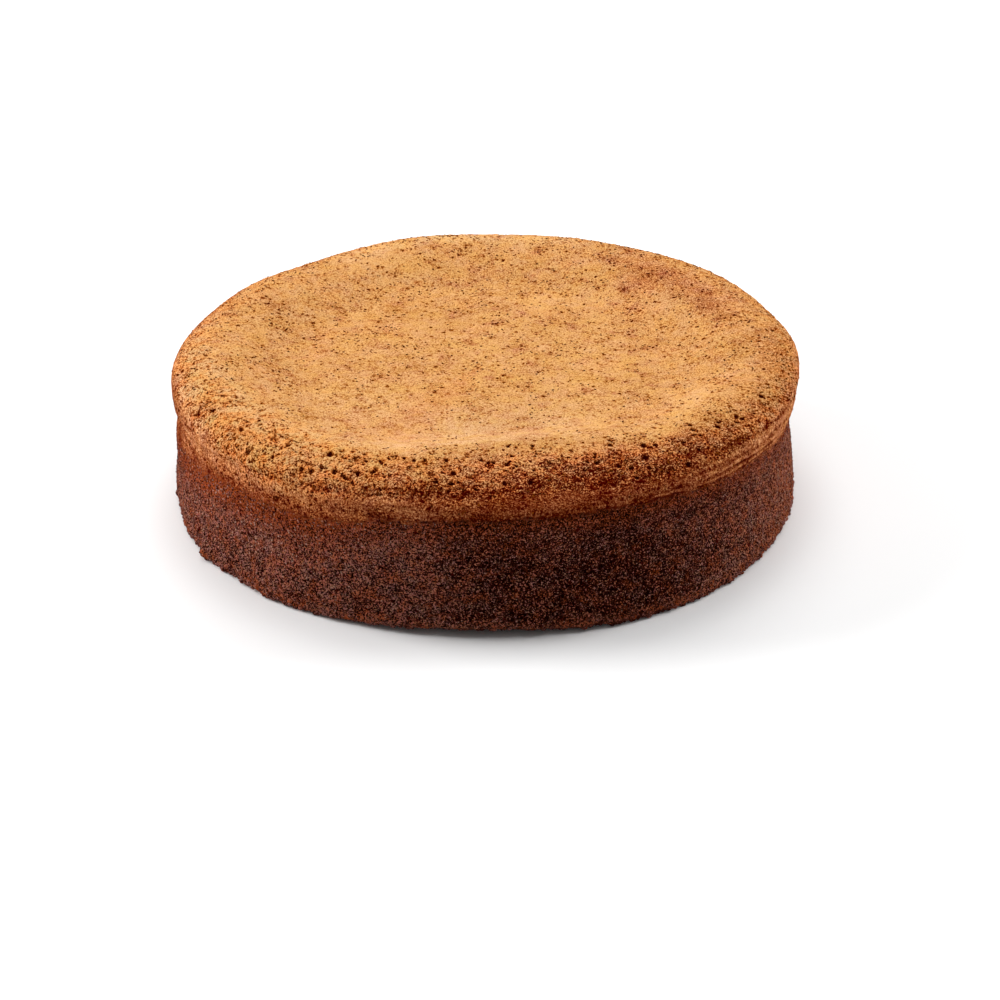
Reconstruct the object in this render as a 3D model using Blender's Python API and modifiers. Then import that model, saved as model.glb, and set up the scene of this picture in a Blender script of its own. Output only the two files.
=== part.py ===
"""Poppy seed cake: one round, uncut cake as a single closed solid.

Metres, +Z up. The origin is the middle of the flat base. -Y is the front.
A turned profile gives the mean form. Functions then move its points, so that the
rim, the creases round the wall and the ragged foot are as uneven as on a baked cake.
"""
import math

import bpy
from mathutils import Vector, noise

MM = 0.001

# Driving sizes of the mean form, in mm
BASE_RADIUS = 120.4         # wall just above the foot
WAIST_RADIUS = 118.7        # where the wall pulls in, below the rim
RIM_RADIUS = 120.6          # widest ring of the puffed rim
CREST_RADIUS = 105.0        # highest ring of the rim
FLOOR_RADIUS = 68.0         # the sunken middle is flat inside this
WAIST_HEIGHT = 29.0
RIM_HEIGHT = 50.5           # of the widest ring
CREST_HEIGHT = 58.4
DISH_DEPTH = 6.5            # how far the middle sinks below the crest
FOOT_ROUND = 2.2            # rounding between wall and base
SHOULDER_POWER = 2.15       # 2 is an ellipse, more is squarer

# Resolution
STEPS = 132                 # round the axis
WALL_RINGS = 19
SHOULDER_RINGS = 9
DISH_RINGS = 10
FOOT_RINGS = 3

# Lip of the front, where the rim is broad and its crest lies far inside
LIP_ANGLE = -80.0           # degrees, -90 is straight to the front
LIP_SPREAD = 33.0
LIP_INWARD = 22.0
LIP_DROP = 3.6              # the widest ring is lower there

# Swells of the rim: angle, spread (degrees), outward, upward (mm)
RIM_SWELLS = (
    (5.0, 12.0, 0.9, 1.5),
    (38.0, 20.0, 0.8, 2.0),
    (68.0, 14.0, 0.3, 0.7),
    (105.0, 9.0, 0.2, 0.6),
    (130.0, 14.0, -0.4, -1.5),
    (160.0, 14.0, -0.9, -1.2),
    (-142.0, 20.0, 0.4, 0.2),
)

# Swells of the wall: angle, spread (degrees), height, height spread, outward (mm)
WALL_SWELLS = (
    (-6.0, 24.0, 35.0, 8.0, -1.3),
    (-176.0, 26.0, 28.0, 6.0, 1.2),
    (-176.0, 20.0, 39.0, 3.5, -1.4),
    (-176.0, 20.0, 10.0, 9.0, 0.5),
    (-150.0, 7.0, 3.0, 5.0, 1.2),
    (-127.0, 15.0, 4.0, 9.0, 1.1),
    (-55.0, 22.0, 5.0, 10.0, 1.8),
)

# Creases run round the wall under the rim: mean height, rise to the front, depth, half width
CREASES = (
    (46.0, 8.6, 0.9, 1.7),
    (39.0, 8.8, 0.5, 1.5),
)
CREASE_FRONT_ANGLE = -85.0

# Foot: the front edge is baked clear of what the cake stands on
LIFT_ANGLE = -92.0
LIFT_SPREAD = 21.0
LIFT_HEIGHT = 2.9
FLAT_RADIUS = 108.0         # the base is flat inside this

# Lumps: size of a lump and how far it stands out, in mm
BROAD_LUMP = 38.0
BROAD_RELIEF = 0.55
CRUMB_LUMP = 9.0
CRUMB_RELIEF = 0.30
CALM_RADIUS = 35.0          # the middle of the top is calmer
FOOT_LUMP = 7.0
FOOT_RELIEF = 1.0


def smooth(low, high, value):
    """0 below low, 1 above high, an S-curve between."""
    t = min(max((value - low) / (high - low), 0.0), 1.0)
    return t * t * (3.0 - 2.0 * t)


def bell(angle, centre, spread):
    """1 at the centre angle, falling off over the spread, in degrees."""
    away = (angle - centre + 180.0) % 360.0 - 180.0
    return math.exp(-(away / spread) ** 2)


def mean_profile():
    """(radius, height) from the middle of the top, over the rim, down to the base centre."""
    points = []
    for i in range(DISH_RINGS):
        r = CREST_RADIUS * (i / DISH_RINGS) ** 0.8
        sink = 1.0 - smooth(FLOOR_RADIUS, CREST_RADIUS, r)
        points.append((r, CREST_HEIGHT - DISH_DEPTH * sink))
    for i in range(SHOULDER_RINGS):
        turn = math.pi / 2 * (1.0 - i / SHOULDER_RINGS)
        out = math.cos(turn) ** (2.0 / SHOULDER_POWER)
        up = math.sin(turn) ** (2.0 / SHOULDER_POWER)
        r = CREST_RADIUS + (RIM_RADIUS - CREST_RADIUS) * out
        points.append((r, RIM_HEIGHT + (CREST_HEIGHT - RIM_HEIGHT) * up))
    for i in range(WALL_RINGS):
        z = RIM_HEIGHT + (FOOT_ROUND - RIM_HEIGHT) * i / WALL_RINGS
        if z > WAIST_HEIGHT:
            pull = smooth(WAIST_HEIGHT, RIM_HEIGHT, z)
            r = WAIST_RADIUS + (RIM_RADIUS - WAIST_RADIUS) * pull
        else:
            pull = smooth(FOOT_ROUND, WAIST_HEIGHT, z)
            r = BASE_RADIUS + (WAIST_RADIUS - BASE_RADIUS) * pull
        points.append((r, z))
    for i in range(FOOT_RINGS + 1):
        turn = math.pi / 2 * i / FOOT_RINGS
        r = BASE_RADIUS - FOOT_ROUND * (1.0 - math.cos(turn))
        points.append((r, FOOT_ROUND * (1.0 - math.sin(turn))))
    points.append((FLAT_RADIUS, 0.0))
    points.append((0.0, 0.0))
    return points


def bake(point):
    """Where a point of the mean form lies on the baked cake. In and out in mm."""
    r = math.hypot(point.x, point.y)
    z = point.z
    if r < 1e-6 and z < 1e-6:
        return point.copy()
    angle = math.degrees(math.atan2(point.y, point.x))
    wall = smooth(0.0, 8.0, z)
    rim = smooth(WAIST_HEIGHT, RIM_HEIGHT, z) * smooth(FLOOR_RADIUS - 15.0, CREST_RADIUS, r)
    outer = smooth(80.0, 116.0, r)

    # the broad lip at the front
    lip = bell(angle, LIP_ANGLE, LIP_SPREAD)
    on_top = smooth(RIM_HEIGHT - 1.0, CREST_HEIGHT - DISH_DEPTH, z)
    draw_in = smooth(35.0, CREST_RADIUS, r) * (1.0 - smooth(CREST_RADIUS, RIM_RADIUS, r))
    new_r = r - LIP_INWARD * lip * draw_in * on_top
    drop = smooth(CREST_RADIUS, RIM_RADIUS, r) * smooth(20.0, RIM_HEIGHT, z)
    new_z = z - LIP_DROP * lip * drop

    # swells of rim and wall
    for centre, spread, outward, upward in RIM_SWELLS:
        here = bell(angle, centre, spread) * rim
        new_r += outward * here * outer
        new_z += upward * here
    for centre, spread, height, reach, outward in WALL_SWELLS:
        near = math.exp(-((z - height) / reach) ** 2)
        new_r += outward * bell(angle, centre, spread) * near * outer

    # creases under the rim
    front = math.cos(math.radians(angle - CREASE_FRONT_ANGLE))
    for height, rise, depth, half_width in CREASES:
        away = (new_z - height - rise * front) / half_width
        broken = 0.65 + 0.7 * noise.noise(Vector((point.x, point.y, height)) / 22.0)
        new_r -= depth * broken * math.exp(-away * away) * outer

    # foot lifted at the front, ragged all round
    low = 1.0 - smooth(0.0, 14.0, z)
    edge = smooth(FLAT_RADIUS, BASE_RADIUS - FOOT_ROUND, r)
    new_z += LIFT_HEIGHT * bell(angle, LIFT_ANGLE, LIFT_SPREAD) * low * edge
    ragged = noise.noise(Vector((point.x, point.y, 40.0)) / FOOT_LUMP)
    new_r += FOOT_RELIEF * ragged * (1.0 - smooth(2.0, 9.0, z)) * edge

    # lumps over the wall and the top
    broad = noise.noise(Vector((point.x, point.y, point.z + 90.0)) / BROAD_LUMP)
    crumb = noise.noise(Vector((point.x, point.y, point.z + 200.0)) / CRUMB_LUMP)
    calm = smooth(0.0, CALM_RADIUS, r)
    lump = BROAD_RELIEF * broad + CRUMB_RELIEF * crumb * calm
    facing_out = outer * (1.0 - smooth(RIM_HEIGHT, CREST_HEIGHT, z))
    new_r += lump * facing_out * wall
    new_z += lump * (1.0 - facing_out) * wall

    scale = new_r / r if r > 1e-6 else 1.0
    return Vector((point.x * scale, point.y * scale, max(new_z, 0.0)))


def make_crust_material():
    material = bpy.data.materials.new("golden_crust")
    material.use_nodes = True
    surface = material.node_tree.nodes["Principled BSDF"]
    surface.inputs["Base Color"].default_value = (0.60, 0.33, 0.13, 1.0)
    surface.inputs["Roughness"].default_value = 0.8
    surface.inputs["Metallic"].default_value = 0.0
    material.diffuse_color = (0.60, 0.33, 0.13, 1.0)
    return material


def make_crumb_material():
    material = bpy.data.materials.new("dark_crumb")
    material.use_nodes = True
    surface = material.node_tree.nodes["Principled BSDF"]
    surface.inputs["Base Color"].default_value = (0.065, 0.022, 0.012, 1.0)
    surface.inputs["Roughness"].default_value = 0.9
    surface.inputs["Metallic"].default_value = 0.0
    material.diffuse_color = (0.065, 0.022, 0.012, 1.0)
    return material


def turn_profile(name, profile, collection):
    """A closed solid of revolution, made by a Screw modifier and read back as a mesh."""
    mesh = bpy.data.meshes.new(name + "_profile")
    points = [(r * MM, 0.0, z * MM) for r, z in profile]
    edges = [(i, i + 1) for i in range(len(points) - 1)]
    mesh.from_pydata(points, edges, [])
    profile_object = bpy.data.objects.new(name + "_profile", mesh)
    collection.objects.link(profile_object)
    screw = profile_object.modifiers.new("turn", "SCREW")
    screw.axis = "Z"
    screw.angle = math.radians(360.0)
    screw.steps = STEPS
    screw.render_steps = STEPS
    screw.use_merge_vertices = True
    screw.merge_threshold = 0.00005
    screw.use_smooth_shade = True
    evaluated = profile_object.evaluated_get(bpy.context.evaluated_depsgraph_get())
    solid = bpy.data.meshes.new_from_object(evaluated)
    solid.name = name
    bpy.data.objects.remove(profile_object)
    bpy.data.meshes.remove(mesh)
    return solid


def build_cake(collection):
    solid = turn_profile("cake", mean_profile(), collection)
    for vertex in solid.vertices:
        vertex.co = bake(vertex.co / MM) * MM
    solid.materials.append(make_crust_material())
    solid.materials.append(make_crumb_material())
    crumb_top = (RIM_HEIGHT - 9.0) * MM
    for face in solid.polygons:
        face.material_index = 1 if face.center.z < crumb_top else 0
    solid.shade_smooth()
    cake = bpy.data.objects.new("cake", solid)
    collection.objects.link(cake)
    return cake


def main():
    for old in list(bpy.data.objects):
        bpy.data.objects.remove(old)
    collection = bpy.data.collections.new("poppy_seed_cake")
    bpy.context.scene.collection.children.link(collection)
    build_cake(collection)


main()
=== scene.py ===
import math
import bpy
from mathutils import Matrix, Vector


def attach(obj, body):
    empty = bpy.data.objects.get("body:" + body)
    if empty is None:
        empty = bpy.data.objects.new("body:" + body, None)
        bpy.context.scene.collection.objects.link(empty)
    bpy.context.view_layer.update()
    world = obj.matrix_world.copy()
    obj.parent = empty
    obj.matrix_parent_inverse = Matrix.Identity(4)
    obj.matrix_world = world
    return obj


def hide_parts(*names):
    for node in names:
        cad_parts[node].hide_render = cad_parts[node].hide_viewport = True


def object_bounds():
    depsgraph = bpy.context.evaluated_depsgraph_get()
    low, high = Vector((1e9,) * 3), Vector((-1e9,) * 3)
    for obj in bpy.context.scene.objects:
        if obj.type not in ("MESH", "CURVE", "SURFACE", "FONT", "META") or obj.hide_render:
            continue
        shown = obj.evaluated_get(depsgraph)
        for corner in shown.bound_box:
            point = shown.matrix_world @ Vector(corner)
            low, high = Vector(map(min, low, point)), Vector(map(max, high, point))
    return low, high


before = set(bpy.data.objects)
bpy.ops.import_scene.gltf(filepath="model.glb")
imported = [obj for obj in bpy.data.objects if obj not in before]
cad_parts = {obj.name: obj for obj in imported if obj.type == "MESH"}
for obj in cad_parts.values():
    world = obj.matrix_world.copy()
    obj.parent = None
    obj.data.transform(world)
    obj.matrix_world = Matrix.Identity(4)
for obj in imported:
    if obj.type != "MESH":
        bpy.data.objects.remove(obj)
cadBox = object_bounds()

from types import SimpleNamespace

import bpy
import numpy as np
from mathutils import Vector, kdtree, noise

print("frame loaded, cake node", [round(v, 4) for v in cadBox[1]])


# small helpers for node trees

def findSocket(sockets, key):
    # a socket by its place, its identifier or its name
    if isinstance(key, int):
        return sockets[key]
    shown = [s for s in sockets if s.enabled]
    for socket in shown:
        if socket.identifier == key:
            return socket
    for socket in shown:
        if socket.name == key:
            return socket
    raise KeyError(f"no socket {key} among {[s.identifier for s in sockets]}")


class Wire:
    # an output socket that can be used in Python sums
    def __init__(self, tree, socket):
        self.tree = tree
        self.socket = socket

    def __add__(self, other):
        return self.tree.maths("ADD", self, other)

    def __radd__(self, other):
        return self.tree.maths("ADD", other, self)

    def __sub__(self, other):
        return self.tree.maths("SUBTRACT", self, other)

    def __rsub__(self, other):
        return self.tree.maths("SUBTRACT", other, self)

    def __mul__(self, other):
        return self.tree.maths("MULTIPLY", self, other)

    def __rmul__(self, other):
        return self.tree.maths("MULTIPLY", other, self)

    def __truediv__(self, other):
        return self.tree.maths("DIVIDE", self, other)

    def __rtruediv__(self, other):
        return self.tree.maths("DIVIDE", other, self)


class Node:
    # a node whose outputs are read as wires
    def __init__(self, tree, node):
        self.tree = tree
        self.node = node

    def __getitem__(self, key):
        return Wire(self.tree, findSocket(self.node.outputs, key))


class Tree:
    # adds nodes to a shader tree or a geometry tree
    def __init__(self, nodeTree):
        self.nodeTree = nodeTree

    def add(self, kind, settings=None, values=None):
        node = self.nodeTree.nodes.new(kind)
        for name, value in (settings or {}).items():
            if name == "stops":
                self.setStops(node.color_ramp, value)
            else:
                setattr(node, name, value)
        for key, value in (values or {}).items():
            self.feed(findSocket(node.inputs, key), value)
        return Node(self, node)

    def feed(self, socket, value):
        if isinstance(value, Wire):
            self.nodeTree.links.new(value.socket, socket)
        elif value is not None:
            isColour = socket.type == "RGBA" and len(value) == 3
            socket.default_value = (*value, 1.0) if isColour else value

    def setStops(self, ramp, stops):
        while len(ramp.elements) < len(stops):
            ramp.elements.new(0.5)
        for element, (place, colour) in zip(ramp.elements, stops):
            element.position = place
            element.color = (*colour, 1.0)

    def maths(self, operation, *values):
        settings = {"operation": operation}
        return self.add("ShaderNodeMath", settings, dict(enumerate(values)))["Value"]

    def most(self, first, second):
        return self.maths("MAXIMUM", first, second)

    def vector(self, operation, *values, output="Vector"):
        settings = {"operation": operation}
        return self.add("ShaderNodeVectorMath", settings, dict(enumerate(values)))[output]

    def scaled(self, vector, factor):
        values = {0: vector, "Scale": factor}
        return self.add("ShaderNodeVectorMath", {"operation": "SCALE"}, values)["Vector"]

    def mix(self, factor, first, second, blend="MIX"):
        settings = {"data_type": "RGBA", "blend_type": blend, "clamp_factor": True}
        values = {"Factor_Float": factor, "A_Color": first, "B_Color": second}
        return self.add("ShaderNodeMix", settings, values)["Result_Color"]

    def tinted(self, colour, tint, amount=1.0):
        return self.mix(amount, colour, tint, blend="MULTIPLY")

    def step(self, value, low, high, lowOut=0.0, highOut=1.0):
        # a smooth step from lowOut to highOut while value goes from low to high
        values = {"Value": value, "From Min": low, "From Max": high,
                  "To Min": lowOut, "To Max": highOut}
        return self.add("ShaderNodeMapRange", {"interpolation_type": "SMOOTHSTEP"}, values)["Result"]

    def noise(self, place, scale, detail=2.0, roughness=0.5, stretch=None, output="Fac"):
        if stretch is not None:
            place = self.vector("MULTIPLY", place, stretch)
        values = {"Vector": place, "Scale": scale, "Detail": detail, "Roughness": roughness}
        return self.add("ShaderNodeTexNoise", {}, values)[output]

    def cells(self, place, scale):
        return self.add("ShaderNodeTexVoronoi", {}, {"Vector": place, "Scale": scale})

    def part(self, vector, axis):
        return self.add("ShaderNodeSeparateXYZ", {}, {0: vector})[axis]


# camera, light and floor

cameraSizes = {
    "lens": 100.0,                      # mm on a 36 mm sensor
    "distance": 1.1004,
    "elevation": 28.17,                 # degrees above the horizon
    "aim": (0.0057, 0.0, -0.0084),
}


def makeCamera():
    camera = bpy.data.objects.new("camera", bpy.data.cameras.new("camera"))
    camera.data.lens = cameraSizes["lens"]
    camera.data.sensor_width = 36.0
    tilt = math.radians(cameraSizes["elevation"])
    back = Vector((0.0, -math.cos(tilt), math.sin(tilt)))
    camera.location = Vector(cameraSizes["aim"]) + back * cameraSizes["distance"]
    camera.rotation_euler = (math.pi / 2 - tilt, 0.0, 0.0)
    bpy.context.scene.collection.objects.link(camera)
    bpy.context.scene.camera = camera


studio = {
    "floorColour": (0.92, 0.92, 0.92),
    "skyStrength": 0.25,
    # place, size (m) and power (W) of each soft lamp
    "lamps": {
        "leftLamp": ((-1.5, 0.35, 0.75), 1.0, 32.0),
        "rightLamp": ((1.5, 0.5, 0.75), 1.0, 22.0),
        "backLamp": ((0.0, 0.9, 1.6), 1.2, 10.0),
        "topLamp": ((0.0, 0.0, 1.8), 1.4, 10.0),
    },
}


def makeLight(name, place, size, power):
    light = bpy.data.lights.new(name, "AREA")
    light.shape = "DISK"
    light.size = size
    light.energy = power
    lamp = bpy.data.objects.new(name, light)
    lamp.location = place
    lamp.rotation_euler = (-Vector(place)).to_track_quat("-Z", "Y").to_euler()
    bpy.context.scene.collection.objects.link(lamp)


def makeStudio():
    world = bpy.data.worlds.new("studio")
    bpy.context.scene.world = world
    world.use_nodes = True
    sky = world.node_tree.nodes["Background"]
    sky.inputs["Color"].default_value = (1.0, 1.0, 1.0, 1.0)
    sky.inputs["Strength"].default_value = studio["skyStrength"]
    for name, (place, size, power) in studio["lamps"].items():
        makeLight(name, place, size, power)
    bpy.ops.mesh.primitive_plane_add(size=8.0)
    floor = bpy.context.object
    floor.name = "floor"
    paint = bpy.data.materials.new("palePaint")
    paint.use_nodes = True
    shader = paint.node_tree.nodes["Principled BSDF"]
    shader.inputs["Base Color"].default_value = (*studio["floorColour"], 1.0)
    shader.inputs["Roughness"].default_value = 0.6
    floor.data.materials.append(paint)
    bpy.context.scene.view_settings.view_transform = "Standard"


makeCamera()
makeStudio()
print("camera, lights and floor made")


# the cake's form, the same as the solid's, in mm

cakeForm = {
    "baseRadius": 120.4,
    "waistRadius": 118.7,
    "rimRadius": 120.6,
    "crestRadius": 105.0,
    "floorRadius": 68.0,
    "waistHeight": 29.0,
    "rimHeight": 50.5,
    "crestHeight": 58.4,
    "dishDepth": 6.5,
    "footRound": 2.2,
    "flatRadius": 108.0,
    "shoulderPower": 2.15,
    "outerRadii": (80.0, 116.0),        # what shapes the wall starts and is full here
    "lip": {"angle": -80.0, "spread": 33.0, "inward": 22.0, "drop": 3.6, "innerRadius": 35.0},
    # angle, spread (degrees), outward, upward
    "rimSwells": (
        (5.0, 12.0, 0.9, 1.5),
        (38.0, 20.0, 0.8, 2.0),
        (68.0, 14.0, 0.3, 0.7),
        (105.0, 9.0, 0.2, 0.6),
        (130.0, 14.0, -0.4, -1.5),
        (160.0, 14.0, -0.9, -1.2),
        (-142.0, 20.0, 0.4, 0.2),
    ),
    # angle, spread (degrees), height, height spread, outward
    "wallSwells": (
        (-6.0, 24.0, 35.0, 8.0, -1.3),
        (-176.0, 26.0, 28.0, 6.0, 1.2),
        (-176.0, 20.0, 39.0, 3.5, -1.4),
        (-176.0, 20.0, 10.0, 9.0, 0.5),
        (-150.0, 7.0, 3.0, 5.0, 1.2),
        (-127.0, 15.0, 4.0, 9.0, 1.1),
        (-55.0, 22.0, 5.0, 10.0, 1.8),
    ),
    # mean height, rise to the front, depth, half width
    "creases": ((46.0, 8.6, 0.9, 1.7), (39.0, 8.8, 0.5, 1.5)),
    "creaseFrontAngle": -85.0,
    "creaseLeft": {"angle": -168.0, "spread": 32.0, "drop": 7.0},
    "lift": {"angle": -92.0, "spread": 21.0, "height": 2.9, "reach": 14.0},
    "broadLump": 38.0,
    "broadRelief": 0.55,
    "footLump": 7.0,
    "footRelief": 1.0,
    "footHeights": (2.0, 9.0),          # ragged below the first, smooth above the second
    # clumps of crumbs at the foot: angle, spread (degrees), height, height spread, outward
    "footClumps": (
        (-149.0, 1.5, 3.0, 2.6, 2.4),
        (-153.5, 1.0, 8.0, 3.0, 0.9),
        (-131.0, 1.6, 1.0, 2.5, 1.0),
    ),
}


def smooth(low, high, value):
    t = np.clip((value - low) / (high - low), 0.0, 1.0)
    return t * t * (3.0 - 2.0 * t)


def bell(angle, centre, spread):
    away = (angle - centre + 180.0) % 360.0 - 180.0
    return np.exp(-(away / spread) ** 2)


def around(angle, zone):
    return bell(angle, zone["angle"], zone["spread"])


def roundMore(angle, rows, start=0.0):
    # start, with what rows of angle, spread (degrees) and amount add to it at an angle
    total = start
    for centre, spread, amount in rows:
        total = total + amount * bell(angle, centre, spread)
    return total


def hump(value, centre, reach):
    # 1 at the centre, falling off on both sides
    return np.exp(-((value - centre) / reach) ** 2)


def lumps(points, size, shift):
    # smooth noise from -1 to 1 at an array of points
    return np.array([noise.noise(Vector((x, y, z + shift)) / size) for x, y, z in points])


# points of the mean profile in its top, shoulder, wall and foot
profilePoints = {"top": 240, "shoulder": 120, "wall": 160, "foot": 12}


def meanProfile():
    # closely spaced (radius, height) from the middle of the top to the base
    f = cakeForm
    count = profilePoints
    r = np.linspace(0.0, f["crestRadius"], count["top"])
    z = f["crestHeight"] - f["dishDepth"] * (1.0 - smooth(f["floorRadius"], f["crestRadius"], r))
    turn = np.linspace(np.pi / 2, 0.0, count["shoulder"])[1:]
    out = np.cos(turn) ** (2.0 / f["shoulderPower"])
    up = np.sin(turn) ** (2.0 / f["shoulderPower"])
    shoulderR = f["crestRadius"] + (f["rimRadius"] - f["crestRadius"]) * out
    shoulderZ = f["rimHeight"] + (f["crestHeight"] - f["rimHeight"]) * up
    wallZ = np.linspace(f["rimHeight"], f["footRound"], count["wall"])[1:]
    upper = f["waistRadius"] + (f["rimRadius"] - f["waistRadius"]) * smooth(
        f["waistHeight"], f["rimHeight"], wallZ)
    lower = f["baseRadius"] + (f["waistRadius"] - f["baseRadius"]) * smooth(
        f["footRound"], f["waistHeight"], wallZ)
    wallR = np.where(wallZ > f["waistHeight"], upper, lower)
    turn = np.linspace(0.0, np.pi / 2, count["foot"])[1:]
    footR = f["baseRadius"] - f["footRound"] * (1.0 - np.cos(turn))
    footZ = f["footRound"] * (1.0 - np.sin(turn))
    return (np.concatenate([r, shoulderR, wallR, footR]),
            np.concatenate([z, shoulderZ, wallZ, footZ]))


def creaseLine(angle, height, rise):
    # height at which a crease runs round the wall
    left = cakeForm["creaseLeft"]
    front = np.cos(np.radians(angle - cakeForm["creaseFrontAngle"]))
    return height + rise * front - left["drop"] * around(angle, left)


def creaseDip(x, y, z, angle):
    # how far the creases round the wall pull in at a height
    dip = 0.0
    for height, rise, depth, halfWidth in cakeForm["creases"]:
        away = (z - creaseLine(angle, height, rise)) / halfWidth
        level = np.full_like(x, height)
        broken = 0.65 + 0.7 * lumps(np.stack([x, y, level], 1), 22.0, 0.0)
        dip = dip + depth * broken * np.exp(-away * away)
    return dip


def bakedForm(r, z, angle):
    # where a point of the mean profile lies on the cake, without its lumps
    f = cakeForm
    lipSizes = f["lip"]
    rim = smooth(f["waistHeight"], f["rimHeight"], z)
    rim = rim * smooth(f["floorRadius"] - 15.0, f["crestRadius"], r)
    outer = smooth(*f["outerRadii"], r)
    lip = around(angle, lipSizes)
    onTop = smooth(f["rimHeight"] - 1.0, f["crestHeight"] - f["dishDepth"], z)
    drawIn = smooth(lipSizes["innerRadius"], f["crestRadius"], r)
    drawIn = drawIn * (1.0 - smooth(f["crestRadius"], f["rimRadius"], r))
    newR = r - lipSizes["inward"] * lip * drawIn * onTop
    drop = smooth(f["crestRadius"], f["rimRadius"], r) * smooth(20.0, f["rimHeight"], z)
    newZ = z - lipSizes["drop"] * lip * drop
    for centre, spread, outward, upward in f["rimSwells"]:
        here = bell(angle, centre, spread) * rim
        newR = newR + outward * here * outer
        newZ = newZ + upward * here
    for centre, spread, height, reach, outward in f["wallSwells"]:
        newR = newR + outward * bell(angle, centre, spread) * hump(z, height, reach) * outer
    return newR, newZ


def bakedPoints(r, z, angle):
    # the same with creases, lifted foot and lumps, as points in mm
    f = cakeForm
    newR, newZ = bakedForm(r, z, angle)
    x = r * np.cos(np.radians(angle))
    y = r * np.sin(np.radians(angle))
    outer = smooth(*f["outerRadii"], r)
    newR = newR - creaseDip(x, y, newZ, angle) * outer
    lift = f["lift"]
    low = 1.0 - smooth(0.0, lift["reach"], z)
    edge = smooth(f["flatRadius"], f["baseRadius"] - f["footRound"], r)
    newZ = newZ + lift["height"] * around(angle, lift) * low * edge
    ragged = lumps(np.stack([x, y, np.zeros_like(x)], 1), f["footLump"], 40.0)
    newR = newR + f["footRelief"] * ragged * (1.0 - smooth(*f["footHeights"], z)) * edge
    for centre, spread, height, reach, outward in f["footClumps"]:
        near = hump(z, height, reach) * bell(angle, centre, spread)
        newR = newR + outward * near * edge
    lump = f["broadRelief"] * lumps(np.stack([x, y, z], 1), f["broadLump"], 90.0)
    lump = lump * smooth(0.0, 8.0, z)
    facingOut = outer * (1.0 - smooth(f["rimHeight"], f["crestHeight"], z))
    newR = newR + lump * facingOut
    newZ = np.maximum(newZ + lump * (1.0 - facingOut), 0.0)
    return np.stack([newR * np.cos(np.radians(angle)), newR * np.sin(np.radians(angle)), newZ], 1)


# meshes made of rings

def skinRings(rings):
    # faces over rings that run from the top centre, over the rim and down
    starts = np.cumsum([0] + [len(ring) for ring in rings])
    faces = []

    def join(*corners):
        faces.extend(np.stack(corners, 1).tolist())

    for k in range(len(rings) - 1):
        n, m = len(rings[k]), len(rings[k + 1])
        a, b = starts[k], starts[k + 1]
        steps = max(n, m) if 1 in (n, m) else min(n, m)
        i = np.arange(steps)
        j = (i + 1) % steps
        if n == m:
            join(a + i, b + i, b + j, a + j)
        elif n == 1:
            join(a + 0 * i, b + i, b + j)
        elif m == 1:
            join(a + i, b + 0 * i, a + j)
        elif m == 2 * n:
            join(a + i, b + 2 * i, b + 2 * i + 1)
            join(a + i, b + 2 * i + 1, a + j)
            join(a + j, b + 2 * i + 1, b + (2 * i + 2) % m)
        elif n == 2 * m:
            join(a + 2 * i, b + i, a + 2 * i + 1)
            join(a + 2 * i + 1, b + i, b + j)
            join(a + 2 * i + 1, b + j, a + (2 * i + 2) % n)
    return np.concatenate(rings), faces


def addLayer(mesh, label, values):
    layer = mesh.attributes.new(label, "FLOAT", "POINT")
    layer.data.foreach_set("value", np.asarray(values, dtype=np.float32))


def makeMesh(name, points, faces, masks):
    mesh = bpy.data.meshes.new(name)
    mesh.from_pydata((points / 1000.0).tolist(), [], faces)
    for label, values in masks.items():
        addLayer(mesh, label, values)
    mesh.shade_smooth()
    piece = bpy.data.objects.new(name, mesh)
    bpy.context.scene.collection.objects.link(piece)
    return piece


# where the surface is dark, toasted, rough or pitted

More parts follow.
